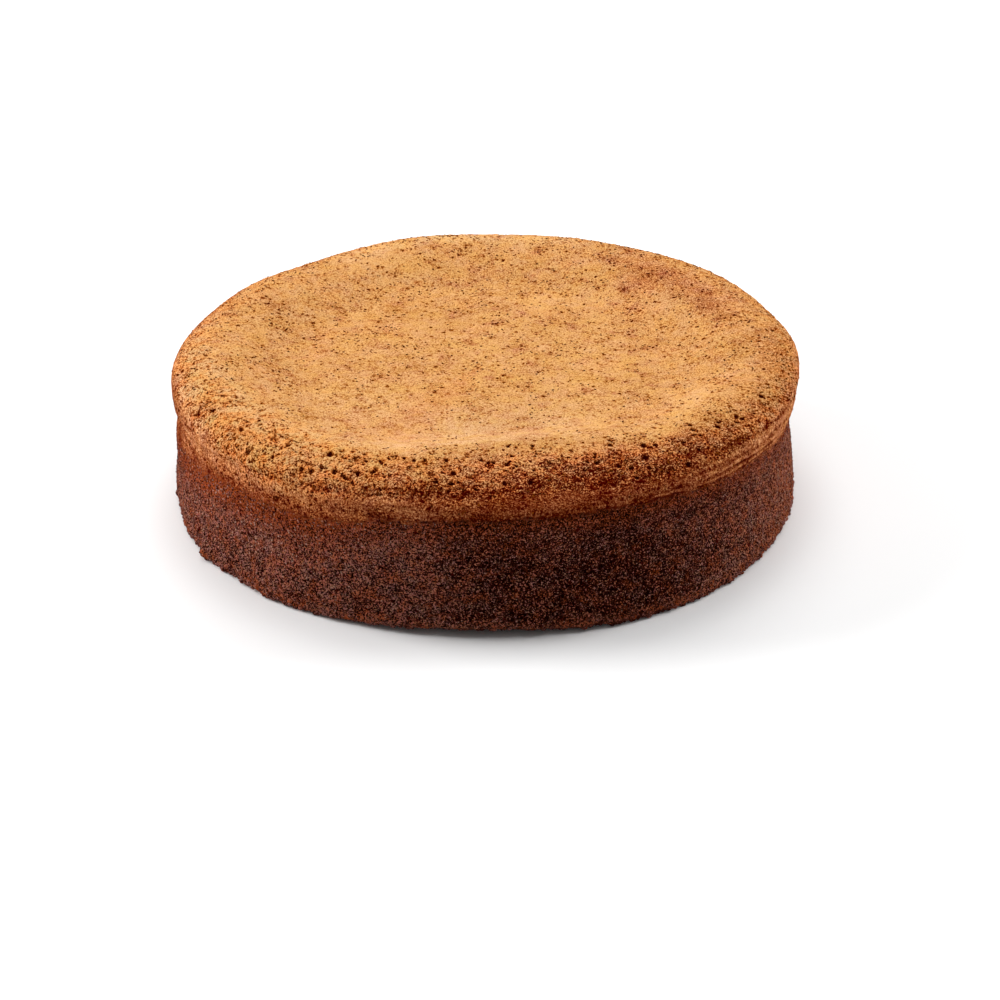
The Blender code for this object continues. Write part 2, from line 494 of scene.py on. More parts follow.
surfaceMap = {
    # height of the line between the golden band and the dark crumb
    "lineHeight": 39.0,
    "lineRise": 8.5,
    "lineFrontAngle": -88.0,
    # angle, spread (degrees), amount: here and in the other rows of three
    "lineDips": ((-168.0, 38.0, -10.0), (-121.0, 13.0, -4.6)),
    "lineSoftness": 2.2,
    "lineSofter": ((-158.0, 34.0, 4.5), (-122.0, 18.0, 2.4), (20.0, 60.0, 1.0)),
    # height where the rough rim gives way to the smooth brown band
    "bandTop": 53.5,
    "bandTopDips": ((-130.0, 14.0, -5.0),),
    "bandSoftness": 2.5,
    # how unevenly both run: size of the waves, shift of the noise, height
    "wobbles": ((9.0, 500.0, 1.6), (3.0, 700.0, 1.2)),
    # a zone grows from nothing at its first radius to full at its second
    "wallRadii": (106.0, 114.0),
    "shoulderRadii": (100.0, 110.0),
    "shoulderHeight": 5.0,
    "lipRadius": 104.0,         # where the rough rim begins, but for the lip of the front
    "rimWidth": 16.0,
    # how brown the crust is: 0 pale gold, 1 nearly burnt
    "floorLevel": 0.17,
    "rimLevel": 0.03,
    "shoulderLevel": 0.13,
    "shoulderMore": ((-78.0, 18.0, 0.38), (-125.0, 12.0, -0.9)),
    "front": {"angle": -68.0, "spread": 44.0, "radii": (91.0, 108.0), "more": 0.27},
    # browned spots on the rim: angle, spread (degrees), radius, spread (mm), how much more
    "spots": (
        (38.0, 24.0, 99.0, 8.0, 0.18),
        (24.0, 8.0, 96.0, 6.0, 0.16),
        (45.0, 8.0, 89.0, 7.0, 0.20),
        (38.0, 9.0, 73.0, 8.0, 0.08),
        (-22.0, 16.0, 104.0, 12.0, -0.03),
        (75.0, 12.0, 106.0, 6.0, 0.03),
        (-163.0, 18.0, 108.0, 9.0, -0.12),
        (-136.0, 21.0, 105.0, 11.0, -0.16),
        (-39.0, 9.0, 113.0, 6.0, 0.15),
        (-113.0, 5.0, 104.0, 6.0, -0.08),
        (-126.0, 7.0, 115.0, 4.0, -0.08),
        (-85.0, 5.0, 97.0, 5.0, -0.06),
        (118.0, 10.0, 100.0, 11.0, -0.12),
        (66.0, 9.0, 55.0, 18.0, -0.10),
        (92.0, 26.0, 86.0, 12.0, -0.05),
        (0.0, 20.0, 110.0, 8.0, 0.05),
        (-26.0, 9.0, 86.0, 8.0, -0.14),
        (92.0, 24.0, 109.0, 5.0, -0.16),
        (-71.0, 12.0, 105.0, 6.0, 0.26),
        (-93.0, 8.0, 98.0, 5.0, 0.06),
        (-65.0, 8.0, 103.0, 5.0, 0.07),
        (-51.0, 10.0, 96.0, 7.0, -0.13),
    ),
    "bandLevel": 0.62,
    # angle, spread (degrees), how much more
    "bandMore": (
        (-67.0, 15.0, 0.14),
        (-136.0, 26.0, -0.36),
        (-166.0, 14.0, 0.07),
        (-18.0, 28.0, -0.25),
        (-88.0, 12.0, 0.05),
    ),
    # browner just above the dark line
    "lowBand": {"angle": -136.0, "spread": 26.0, "reach": 10.0, "more": 0.34},
    # how far the crust turns from gold to orange brown
    "warmRim": 0.08,
    "warmFront": 0.92,
    "warmSpots": 4.5,
    "warmShoulder": 0.8,
    # calm floor before the front rim, and pale rims: angle, spread (degrees), radii, amount
    "calmFloor": {"angle": -95.0, "spread": 45.0, "radii": (25.0, 60.0), "beforeLip": (6.0, -2.0)},
    "coolRims": ((92.0, 30.0, (98.0, 107.0), 1.0), (-164.0, 20.0, (94.0, 103.0), 0.7)),
    # more holes along the creases of the front, and painted shade in them
    "seam": {"angle": -88.0, "spread": 40.0, "width": 0.8, "amount": 1.2},
}

# contrast of the mottling
roughMap = {
    "floor": 0.10,
    "outerFloor": {"radii": (35.0, 85.0), "angle": -90.0, "spread": 55.0, "more": 0.14},
    "rim": {"width": 17.0, "angle": -150.0, "spread": 40.0, "inward": 7.0,
            "more": 0.85, "back": 0.45, "front": 0.55},
    "leftRim": {"angle": -136.0, "spread": 28.0, "radii": (88.0, 101.0), "more": 0.40},
    "band": 0.12,
    "bandMore": ((-140.0, 30.0, 0.25),),
}

# tone of the dark crumb and the band
crumbMap = {
    # red: angle, spread (degrees), amount, height over the dark line, reach
    "redLeft": (-141.0, 37.0, 1.25, -2.0, 9.0),
    "redSeam": {"amount": 0.60, "more": ((-122.0, 14.0, 0.5),), "height": -1.5, "reach": 4.0},
    "redBand": (-117.0, 13.0, 0.7, 50.0, 6.0),      # this one's height is over the base
    # paler crumb: the most of these rows, less the two rows below; partly the crumb's own paler tone at left
    # and right, partly painted light on the lit left and right, and painted shade at the front right and the
    # left foot
    "pale": ((-144.0, 46.0, 1.15), (-4.0, 27.0, 1.50), (90.0, 90.0, 0.5)),
    # painted shade at the front right
    "paleLess": (-72.0, 22.0, -1.05),
    # painted shade at the left foot
    "paleFoot": {"angle": -135.0, "spread": 19.0, "heights": (7.0, 24.0), "more": -0.60},
    "footHeights": (2.5, 8.0),
    "yellow": (2.0, 34.0),
}


def darkLine(angle):
    s = surfaceMap
    height = s["lineHeight"] + s["lineRise"] * np.cos(np.radians(angle - s["lineFrontAngle"]))
    return roundMore(angle, s["lineDips"], height)


def bandTop(angle):
    return roundMore(angle, surfaceMap["bandTopDips"], surfaceMap["bandTop"])


def lipLine(angle):
    # radius where the calm floor of the top ends and the rough rim begins
    lip = cakeForm["lip"]
    return surfaceMap["lipRadius"] - lip["inward"] * around(angle, lip)


fineCreases = (
    # distance from the first crease, depth (mm), half width (mm), angle, spread (degrees)
    (2.6, 0.50, 0.7, -36.0, 20.0),
    (-1.8, 0.35, 0.6, -26.0, 24.0),
    (-4.4, 0.60, 0.7, -38.0, 20.0),
    (-6.6, 0.55, 0.6, -42.0, 24.0),
    (-8.8, 0.45, 0.5, -66.0, 10.0),
    (5.5, 0.22, 0.9, -152.0, 18.0),
    (1.6, 0.25, 0.9, -158.0, 22.0),
    (-3.4, 0.22, 0.8, -148.0, 26.0),
)

pores = {
    # angle, radius (mm), width (mm) of the holes that stand out
    "named": (
        (-33, 83, 1.6), (-30, 85, 1.7), (-35, 83, 1.2), (-48, 92, 1.6), (-41.5, 100, 1.9), (-61, 93.5, 2.0),
        (-55, 100, 2.2), (-57, 106, 2.4), (-53, 102, 1.6), (-32, 109, 2.0), (-32, 111.5, 2.0),
        (-22, 111, 2.2), (-43, 107, 1.8), (-38, 108, 1.8), (-47.5, 106.5, 2.0), (-70, 91, 1.5),
        (-142, 112, 2.0), (-152, 113.5, 1.8), (-156, 105.5, 1.5), (-154, 118, 1.9), (-136, 118, 2.2),
        (-158, 101, 1.4), (-141, 105, 1.6), (-118, 104.5, 1.3), (-121.5, 105, 2.6), (-114, 103, 1.5),
        (-110, 99, 1.3), (-126, 80, 1.3), (-63, 105.5, 1.9), (-61, 108, 2.0), (-51, 116, 1.9),
        (-58, 111, 1.8), (-124, 116, 1.8), (-122, 115.5, 2.3), (-118, 112.5, 2.2), (-116, 108, 1.3),
        (-114, 105, 1.2), (-111, 107, 1.4), (-116, 113, 1.5), (-108, 108, 1.4), (-97, 83, 1.6),
        (-99, 107.5, 1.9), (-96, 107.5, 1.8), (-88, 94, 1.8), (-85, 95, 2.2), (-78, 90, 1.6),
        (-76, 96, 1.9), (-98, 95, 1.9), (-96, 102, 2.2), (-86, 106, 1.8), (-81, 106, 1.8),
    ),
    "count": 150,               # smaller ones by chance, most of them on the front rim
    "front": (-95.0, 52.0),     # angle, spread (degrees)
    "likelyBehind": 0.25,       # how likely they are away from it
    "fromLip": (1.0, 25.0),     # how far they lie outside the lip's line (mm)
    "outermost": 116.0,
    "widths": (0.9, 1.7),
    "reach": 0.56,              # of its width, from the middle of a hole to its edge
    "deepWidth": 1.8,           # a hole this wide is full deep
    "radii": (60.0, 119.5),     # points of the surface that can lie in a hole
    "lowest": 45.0,
    "seed": 7,
}


def poreCentres():
    chance = np.random.default_rng(pores["seed"])
    named = np.array(pores["named"], dtype=float)
    tries = 4 * pores["count"]
    angle = chance.uniform(-180.0, 180.0, tries)
    radius = lipLine(angle) + chance.uniform(*pores["fromLip"], tries)
    likely = pores["likelyBehind"] + (1.0 - pores["likelyBehind"]) * bell(angle, *pores["front"])
    kept = (chance.random(tries) < likely) & (radius < pores["outermost"])
    width = chance.uniform(*pores["widths"], tries)
    small = np.stack([angle, radius, width], 1)[kept][:pores["count"]]
    return np.concatenate([named, small])


def poreMask(points):
    # 1 in the middle of each hole, 0 at its edge
    r = np.hypot(points[:, 0], points[:, 1])
    mask = np.zeros(len(points))
    inner, outer = pores["radii"]
    top = np.where((r > inner) & (r < outer) & (points[:, 2] > pores["lowest"]))[0]
    flat = points[top, :2]
    tree = kdtree.KDTree(len(top))
    for i, (x, y) in enumerate(flat):
        tree.insert((x, y, 0.0), i)
    tree.balance()
    for angle, radius, width in poreCentres():
        centre = (radius * math.cos(math.radians(angle)), radius * math.sin(math.radians(angle)), 0.0)
        reach = pores["reach"] * width
        depth = min(1.0, width / pores["deepWidth"])
        for place, i, distance in tree.find_range(centre, reach):
            inside = 1.0 - distance / reach
            mask[top[i]] = max(mask[top[i]], inside * (3.0 - 2.0 * inside) * depth)
    return np.clip(mask, 0.0, 1.0)


def whereOn(points):
    # radius, angle and height of points, and how far each lies in the cake's zones
    s = surfaceMap
    at = SimpleNamespace(r=np.hypot(points[:, 0], points[:, 1]), z=points[:, 2])
    at.angle = np.degrees(np.arctan2(points[:, 1], points[:, 0]))
    at.wobble = sum(height * lumps(points, size, shift) for size, shift, height in s["wobbles"])
    at.onWall = smooth(*s["wallRadii"], at.r)
    at.line = darkLine(at.angle)
    at.lip = lipLine(at.angle)
    softness = roundMore(at.angle, s["lineSofter"], s["lineSoftness"])
    at.dark = smooth(-softness, softness, at.line - at.z + at.wobble) * at.onWall
    soft = s["bandSoftness"]
    at.band = smooth(-soft, soft, bandTop(at.angle) - at.z + 0.9 * at.wobble) * at.onWall
    at.frontness = around(at.angle, s["front"])
    at.toRim = smooth(at.lip, at.lip + s["rimWidth"], at.r)
    overBand = smooth(0.0, s["shoulderHeight"], at.z - bandTop(at.angle))
    at.shoulder = (1.0 - overBand) * smooth(*s["shoulderRadii"], at.r)
    return at


def brownLevel(at):
    # how brown the crust is, and how far it turns from gold to orange brown
    s = surfaceMap
    front = s["front"]
    level = s["floorLevel"] + s["rimLevel"] * at.toRim
    level = level + front["more"] * at.frontness * smooth(*front["radii"], at.r)
    level = level + s["shoulderLevel"] * at.shoulder * roundMore(at.angle, s["shoulderMore"], 1.0)
    warm = at.toRim * (s["warmRim"] + s["warmFront"] * at.frontness)
    for centre, spread, radius, reach, more in s["spots"]:
        spot = more * bell(at.angle, centre, spread) * hump(at.r, radius, reach)
        level = level + spot
        warm = np.maximum(warm, s["warmSpots"] * spot)
    low = s["lowBand"]
    bandLevel = roundMore(at.angle, s["bandMore"], s["bandLevel"])
    nearLine = 1.0 - smooth(0.0, low["reach"], at.z - at.line)
    bandLevel = bandLevel + low["more"] * nearLine * around(at.angle, low)
    level = level + (bandLevel - level) * at.band
    warm = np.maximum(np.maximum(warm, s["warmShoulder"] * at.shoulder), at.band)
    return level, np.clip(warm, 0.0, 1.0)


def paleFloor(at):
    # where the floor is calm, which the colours also make a little paler as painted light, and where floor
    # and rim are cooler and paler
    floor = surfaceMap["calmFloor"]
    before, after = floor["beforeLip"]
    calm = around(at.angle, floor) * smooth(*floor["radii"], at.r)
    calm = calm * (1.0 - smooth(at.lip - before, at.lip - after, at.r))
    cool = calm
    for centre, spread, radii, amount in surfaceMap["coolRims"]:
        cool = np.maximum(cool, amount * bell(at.angle, centre, spread) * smooth(*radii, at.r))
    return calm, cool


def creaseMasks(at):
    # seams of holes and painted shade along the creases, and the grooves and ridges of the fine creases,
    # which the colours darken as painted shade and lighten as painted highlight
    seamSizes = surfaceMap["seam"]
    seam = np.zeros(len(at.r))
    frontSeam = around(at.angle, seamSizes)
    for height, rise, depth, halfWidth in cakeForm["creases"]:
        line = creaseLine(at.angle, height, rise)
        here = hump(at.z, line, seamSizes["width"] * halfWidth)
        seam = np.maximum(seam, seamSizes["amount"] * depth * here * frontSeam)
    groove = np.zeros(len(at.r))
    ridge = np.zeros(len(at.r))
    firstCrease = creaseLine(at.angle, *cakeForm["creases"][0][:2])
    uneven = 0.75 + 0.5 * np.clip(at.wobble, -1.0, 1.0)
    for offset, depth, halfWidth, centre, spread in fineCreases:
        away = (at.z - firstCrease - offset - 0.5 * at.wobble) / halfWidth
        here = depth * bell(at.angle, centre, spread) * uneven
        groove = np.maximum(groove, here * hump(away, 0.0, 1.0))
        ridge = np.maximum(ridge, here * hump(away, 2.0, 1.0))
    return seam * at.onWall, groove * at.onWall, ridge * at.onWall


def roughness(at):
    # contrast of the mottling: calm floor, rough rim, calmer band
    floor, rim, left = roughMap["outerFloor"], roughMap["rim"], roughMap["leftRim"]
    elsewhere = 1.0 - around(at.angle, floor)
    rough = roughMap["floor"] + floor["more"] * smooth(*floor["radii"], at.r) * elsewhere
    inner = rim["inward"] * around(at.angle, rim)
    onRim = smooth(at.lip - inner, at.lip + rim["width"] - inner, at.r)
    rough = rough + rim["more"] * onRim * (rim["back"] + rim["front"] * at.frontness)
    onLeft = around(at.angle, left) * smooth(*left["radii"], at.r)
    rough = rough + left["more"] * onLeft
    bandRough = roundMore(at.angle, roughMap["bandMore"], roughMap["band"])
    return np.clip(rough * (1.0 - at.band) + bandRough * at.band, 0.0, 1.0)


def crumbTone(at):
    # where crumb and band are redder, and where they are paler: partly their own tone, partly painted light
    # on the lit left and right, and darker with painted shade at the front right and the left foot
    m = crumbMap
    centre, spread, amount, height, reach = m["redLeft"]
    red = amount * bell(at.angle, centre, spread) * hump(at.z - at.line, height, reach)
    seam = m["redSeam"]
    atSeam = roundMore(at.angle, seam["more"], seam["amount"])
    red = np.maximum(red, atSeam * hump(at.z - at.line, seam["height"], seam["reach"])) * at.onWall
    centre, spread, amount, height, reach = m["redBand"]
    red = np.maximum(red, amount * bell(at.angle, centre, spread) * hump(at.z, height, reach))
    pale = np.max([amount * bell(at.angle, centre, spread) for centre, spread, amount in m["pale"]], axis=0)
    low = m["paleFoot"]
    pale = roundMore(at.angle, (m["paleLess"],), pale)
    atFoot = 1.0 - smooth(*low["heights"], at.z)
    pale = pale + low["more"] * around(at.angle, low) * atFoot
    return red, pale


def surfaceMasks(points):
    # what relief, colours and seeds read: a value of each mask for each point
    at = whereOn(points)
    level, warm = brownLevel(at)
    calm, cool = paleFloor(at)
    seam, groove, ridge = creaseMasks(at)
    red, pale = crumbTone(at)
    return {
        "dark": at.dark, "band": at.band, "level": level, "warm": warm, "rough": roughness(at),
        "calm": calm, "cool": cool, "red": red, "pale": pale, "pore": poreMask(points),
        "seam": seam, "groove": groove, "ridge": ridge,
        "streak": np.maximum(at.band, 0.5 * at.shoulder) * at.onWall,
        "foot": 1.0 - smooth(*crumbMap["footHeights"], at.z),
        "yellow": bell(at.angle, *crumbMap["yellow"]),
    }


# golden crust, a cap over the top and the rim

meanR, meanZ = meanProfile()


def wallColumns(count):
    # the smooth profile at each of count angles, with its length from the middle of the top
    angles = np.arange(count) * 360.0 / count
    rr, zz = bakedForm(np.tile(meanR, (count, 1)), np.tile(meanZ, (count, 1)), angles[:, None])
    steps = np.hypot(np.diff(rr, axis=1, prepend=rr[:, :1]), np.diff(zz, axis=1, prepend=zz[:, :1]))
    return angles, rr, zz, np.cumsum(steps, axis=1)


def ringAtLength(at, length, angles):
    # points of the cake at a length along each column's profile
    r = np.array([np.interp(a, row, meanR) for a, row in zip(at, length)])
    z = np.array([np.interp(a, row, meanZ) for a, row in zip(at, length)])
    return bakedPoints(r, z, angles)


def lengthAtRadius(radius, rr, length):
    # on the top, inside the crest
    top = profilePoints["top"]
    return np.array([np.interp(radius, r[:top], row[:top]) for r, row in zip(rr, length)])


def lengthAtHeight(height, zz, length):
    # on the wall, from half way down the shoulder
    start = profilePoints["top"] + profilePoints["shoulder"] // 2
    return np.array([np.interp(-h, -z[start:], row[start:]) for h, z, row in zip(height, zz, length)])


def outward(angles):
    return np.stack([np.cos(np.radians(angles)), np.sin(np.radians(angles)), 0.0 * angles], 1)


crustSizes = {
    "count": 960,               # points round the rim
    "splitRadius": 80.0,        # inside it the rings get fewer points
    "outerRings": 72,
    "wallFiner": 0.45,          # how much closer the rings are on the wall than on the top
    # outer radius, inner radius, rings: each step has half the points of the one before
    "innerSteps": ((80.0, 40.0, 40), (40.0, 20.0, 19), (20.0, 10.0, 10), (10.0, 0.0, 8)),
    "thickness": 4.0,
    "edge": ((0.5, -0.25), (1.6, 0.4), (4.0, 2.5)),     # inward, up: rings of the turned edge
    "underside": ((108.0, 2), (70.0, 4), (30.0, 8)),    # radius, every how many points
}


def makeCrust():
    c = crustSizes
    angles, rr, zz, length = wallColumns(c["count"])
    rings = []
    count = c["count"]
    for outer, inner, steps in c["innerSteps"]:
        count //= 2
        thin = c["count"] // count
        for k in range(1, steps + 1):
            radius = outer + (inner - outer) * k / steps
            at = lengthAtRadius(max(radius, 0.2), rr[::thin], length[::thin])
            ring = ringAtLength(at, length[::thin], angles[::thin])
            rings.insert(0, ring if radius > 0.0 else ring.mean(0, keepdims=True))

    edgeHeight = darkLine(angles) + lumps(outward(angles) * 120.0, 6.0, 0.0)
    start = lengthAtRadius(c["splitRadius"], rr, length)
    end = lengthAtHeight(edgeHeight, zz, length)
    for k in range(c["outerRings"] + 1):
        t = k / c["outerRings"]
        t = t + c["wallFiner"] * t * (1.0 - t)
        rings.append(ringAtLength(start + (end - start) * t, length, angles))
    shownRings = len(rings)

    # the edge turns in, and a plain underside closes the cap
    edge = rings[-1]
    for inward, up in c["edge"]:
        rings.append(edge - outward(angles) * inward + np.array([0.0, 0.0, up]))
    under = np.array([0.0, 0.0, cakeForm["crestHeight"] - cakeForm["dishDepth"] - c["thickness"]])
    for radius, thin in c["underside"]:
        rings.append((outward(angles) * radius + under)[::thin])
    rings.append(under[None, :])
    return finishRings("goldenCrust", rings, 0, shownRings)


def finishRings(name, rings, firstShown, endShown):
    # a mesh with the masks of its surface; only the shown rings get relief
    points, faces = skinRings(rings)
    masks = surfaceMasks(points)
    shown = [np.full(len(ring), float(firstShown <= k < endShown)) for k, ring in enumerate(rings)]
    masks["shown"] = np.concatenate(shown)
    return makeMesh(name, points, faces, masks)


crust = makeCrust()
print("crust cap", len(crust.data.polygons), "faces")


# dark crumb, the body of the cake under the cap

crumbSizes = {
    "count": 1080,
    "wallRings": 76,
    "overlap": 3.0,             # mm that it reaches up behind the crust
    "inset": 0.6,
    "hiddenTop": ((60.0, 4), (108.0, 2)),       # radius, every how many points
    "base": ((108.0, 1), (70.0, 2), (30.0, 4)),
    "turnIn": 4.0,
}


def makeCrumb():
    c = crumbSizes
    angles, rr, zz, length = wallColumns(c["count"])
    line = darkLine(angles)
    start = lengthAtHeight(line + c["overlap"], zz, length)
    end = length[:, -1]
    wall = []
    for k in range(c["wallRings"] + 1):
        points = ringAtLength(start + (end - start) * k / c["wallRings"], length, angles)
        above = points[:, 2] - line
        inset = c["inset"] * smooth(-1.0, 0.6, above) + 0.25 * smooth(-4.0, 0.0, above)
        wall.append(points - outward(angles) * inset[:, None])
    inside = np.array([0.0, 0.0, wall[0][:, 2].min() - 1.0])
    top = [outward(angles[::thin]) * radius + inside for radius, thin in c["hiddenTop"]]
    top = [inside[None, :], *top, wall[0] - outward(angles) * c["turnIn"]]
    base = [outward(angles[::thin]) * radius for radius, thin in c["base"]] + [np.zeros((1, 3))]
    return finishRings("darkCrumb", top + wall + base, len(top), len(top) + len(wall))


crumb = makeCrumb()
print("crumb body", len(crumb.data.polygons), "faces")


# Geometry Nodes

def geometryTree(name, inputs):
    # a group with geometry in and out, and an input for each named value
    group = bpy.data.node_groups.new(name, "GeometryNodeTree")
    group.interface.new_socket("Geometry", in_out="OUTPUT", socket_type="NodeSocketGeometry")
    group.interface.new_socket("Geometry", in_out="INPUT", socket_type="NodeSocketGeometry")
    for label, value in inputs.items():
        kind = "NodeSocketInt" if isinstance(value, int) else "NodeSocketFloat"
        group.interface.new_socket(label, in_out="INPUT", socket_type=kind)
    return Tree(group)


def applyTree(piece, tree, inputs):
    # runs the tree on a piece and keeps the result as a plain mesh
    modifier = piece.modifiers.new(tree.nodeTree.name, "NODES")
    modifier.node_group = tree.nodeTree
    for item in tree.nodeTree.interface.items_tree:
        if item.in_out == "INPUT" and item.name in inputs:
            modifier[item.identifier] = inputs[item.name]
    depsgraph = bpy.context.evaluated_depsgraph_get()
    evaluated = piece.evaluated_get(depsgraph)
    mesh = bpy.data.meshes.new_from_object(evaluated, preserve_all_data_layers=True, depsgraph=depsgraph)
    mesh.name = piece.name
    piece.modifiers.clear()
    piece.data = mesh
    keepInBox(mesh)
    return piece


def readPoints(mesh):
    points = np.empty(len(mesh.vertices) * 3)
    mesh.vertices.foreach_get("co", points)
    return points.reshape(-1, 3)


def keepInBox(mesh):
    # no crumb stands outside the solid's own size
    margin = 0.00002            # m, none under the base
    low = np.array(cadBox[0]) + (margin, margin, 0.0)
    points = np.clip(readPoints(mesh), low, np.array(cadBox[1]) - margin)
    mesh.vertices.foreach_set("co", points.ravel())
    mesh.update()


def readMask(tree, label):
    settings = {"data_type": "FLOAT"}
    return tree.add("GeometryNodeInputNamedAttribute", settings, {"Name": label})["Attribute"]


def keepMask(tree, geometry, label, value, domain="POINT"):
    settings = {"data_type": "FLOAT", "domain": domain}
    values = {"Geometry": geometry, "Name": label, "Value": value}
    return tree.add("GeometryNodeStoreNamedAttribute", settings, values)["Geometry"]


def shifted(tree, geometry, offset):
    values = {"Geometry": geometry, "Offset": offset}
    return tree.add("GeometryNodeSetPosition", {}, values)["Geometry"]


def endTree(tree, geometry, material):
    real = tree.add("GeometryNodeRealizeInstances", {}, {"Geometry": geometry})["Geometry"]
    painted = tree.add("GeometryNodeSetMaterial", {}, {"Geometry": real, "Material": material})["Geometry"]
    tree.add("NodeGroupOutput", {}, {0: painted})


# relief of crust and crumb

reliefInputs = {
    "Crumb Size": 1.4,       # mm
    "Crumb Depth": 0.38,
    "Crust Lump": 0.90,      # height of the rim's lumps
    "Crust Grain": 0.36,
    "Pit Size": 2.3,
    "Pit Depth": 0.6,
    "Pore Depth": 1.1,
    "Streak Depth": 0.30,
}


def reliefTree(material):
    tree = geometryTree("bakedRelief", reliefInputs)
    source = tree.add("NodeGroupInput")
    place = tree.scaled(tree.add("GeometryNodeInputPosition")["Position"], 1000.0)
    dark, band, rough = (readMask(tree, label) for label in ("dark", "band", "rough"))
    pore, seam, groove, fold = (readMask(tree, label) for label in ("pore", "seam", "groove", "ridge"))

    # dark crumb: grains with uneven holes between them
    crumbScale = 1.0 / source["Crumb Size"]
    bend = tree.noise(place, crumbScale * 0.8, output="Color")
    bent = tree.vector("ADD", place, tree.scaled(bend, 1.2))
    winding = tree.noise(bent, crumbScale, roughness=0.65)
    ridge = tree.step(winding, 0.36, 0.52)
    coarse = tree.noise(place, crumbScale * 0.35, detail=1.0)
    crumbRelief = (ridge * 0.9 + coarse * 1.1 - 1.3) * source["Crumb Depth"]

    # crust: lumps, fine grain and small round pits
    grain = tree.noise(place, 0.7, roughness=0.6) - 0.5
    lump = tree.noise(place, 0.33, detail=1.0) - 0.5
    pits = tree.cells(place, 1.0 / source["Pit Size"])
    luck = tree.part(pits["Color"], "X")
    reach = tree.step(luck, 1.0 - 0.75 * rough, 1.0, 0.0, 0.42)
    pit = tree.step(pits["Distance"], reach * 0.5, reach + 0.02, 1.0, 0.0) * tree.step(reach, 0.05, 0.12)
    crustRelief = grain * source["Crust Grain"] * (0.5 + 1.8 * rough)
    crustRelief = crustRelief + lump * source["Crust Lump"] * 2.0 * rough
    crustRelief = crustRelief - pit * source["Pit Depth"] * tree.step(reach, 0.0, 0.42, 0.4, 1.0)

    # band: shallow streaks round the wall
    streak = tree.noise(place, 0.5, stretch=(0.12, 0.12, 1.0)) - 0.55
    bandRelief = streak * source["Streak Depth"] * 2.0 + grain * 0.35

    golden = crustRelief * (1.0 - band) + bandRelief * band
    golden = golden - pore * source["Pore Depth"] - groove + fold * 0.5
    golden = golden - seam * tree.step(grain, -0.12, 0.08, 0.9, 0.1)
    relief = golden * (1.0 - dark) + crumbRelief * dark
    # painted shade: how deep the pits, pores and grooves lie, and the gaps between crumb grains, for the
    # colours to darken
    hollow = tree.most(pit * (1.0 - band), pore) + groove * 0.6
    hollow = hollow * (1.0 - dark) + (1.0 - ridge) * dark
    normal = tree.add("GeometryNodeInputNormal")["Normal"]
    offset = tree.scaled(normal, relief * readMask(tree, "shown") * 0.001)
    moved = shifted(tree, source["Geometry"], offset)
    endTree(tree, keepMask(tree, moved, "hollow", hollow), material)
    return tree


# materials

# brown level and its colour, from pale to nearly burnt: first the floor of the top, then the rim
floorStops = (
    (0.00, (0.66, 0.360, 0.145)),
    (0.15, (0.56, 0.284, 0.106)),
    (0.30, (0.46, 0.206, 0.066)),
    (0.50, (0.32, 0.114, 0.024)),
    (0.70, (0.19, 0.048, 0.006)),
    (0.85, (0.11, 0.017, 0.002)),
    (1.00, (0.05, 0.003, 0.0005)),
)

rimStops = (
    (0.00, (0.74, 0.370, 0.175)),
    (0.20, (0.57, 0.242, 0.100)),
    (0.40, (0.39, 0.137, 0.054)),
    (0.60, (0.235, 0.061, 0.020)),
    (0.80, (0.12, 0.015, 0.002)),
    (1.00, (0.05, 0.001, 0.0001)),
)

# from the holes of the dark crumb to its palest grains
crumbStops = (
    (0.00, (0.004, 0.0001, 0.0000)),
    (0.20, (0.015, 0.0003, 0.0000)),
    (0.40, (0.034, 0.0042, 0.0017)),
    (0.60, (0.064, 0.0138, 0.0078)),
    (0.80, (0.124, 0.0375, 0.0270)),
    (1.00, (0.330, 0.1420, 0.1160)),
)

